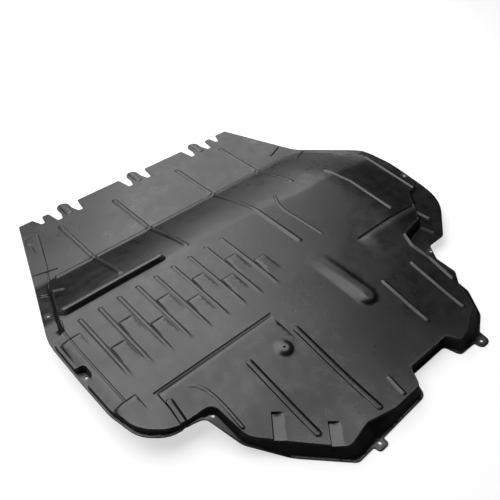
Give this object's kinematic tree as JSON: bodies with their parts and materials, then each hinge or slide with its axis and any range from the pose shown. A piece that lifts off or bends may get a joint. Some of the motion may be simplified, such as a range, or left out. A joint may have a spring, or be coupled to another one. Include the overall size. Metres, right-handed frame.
{
  "type": "engine splash shield",
  "caption": "Thin moulded plastic undertray for an engine bay, with a raised ribbed middle, low side walls, a slotted front edge with tongues, and rear fastening ears.",
  "frame": {"origin": "middle of the bounding box in plan, at the height of its lowest point, the underside of the flange", "axes": "+Y towards the slotted front edge, +Z out of the raised side, +X towards the side with the wider flange"},
  "size_m": [1.0274, 1.035, 0.0767],
  "materials": {
    "black_plastic": "satin moulded, fine grain"
  },
  "bodies": {
    "root": {"splash_shield": "black_plastic"}
  },
  "joints": []
}
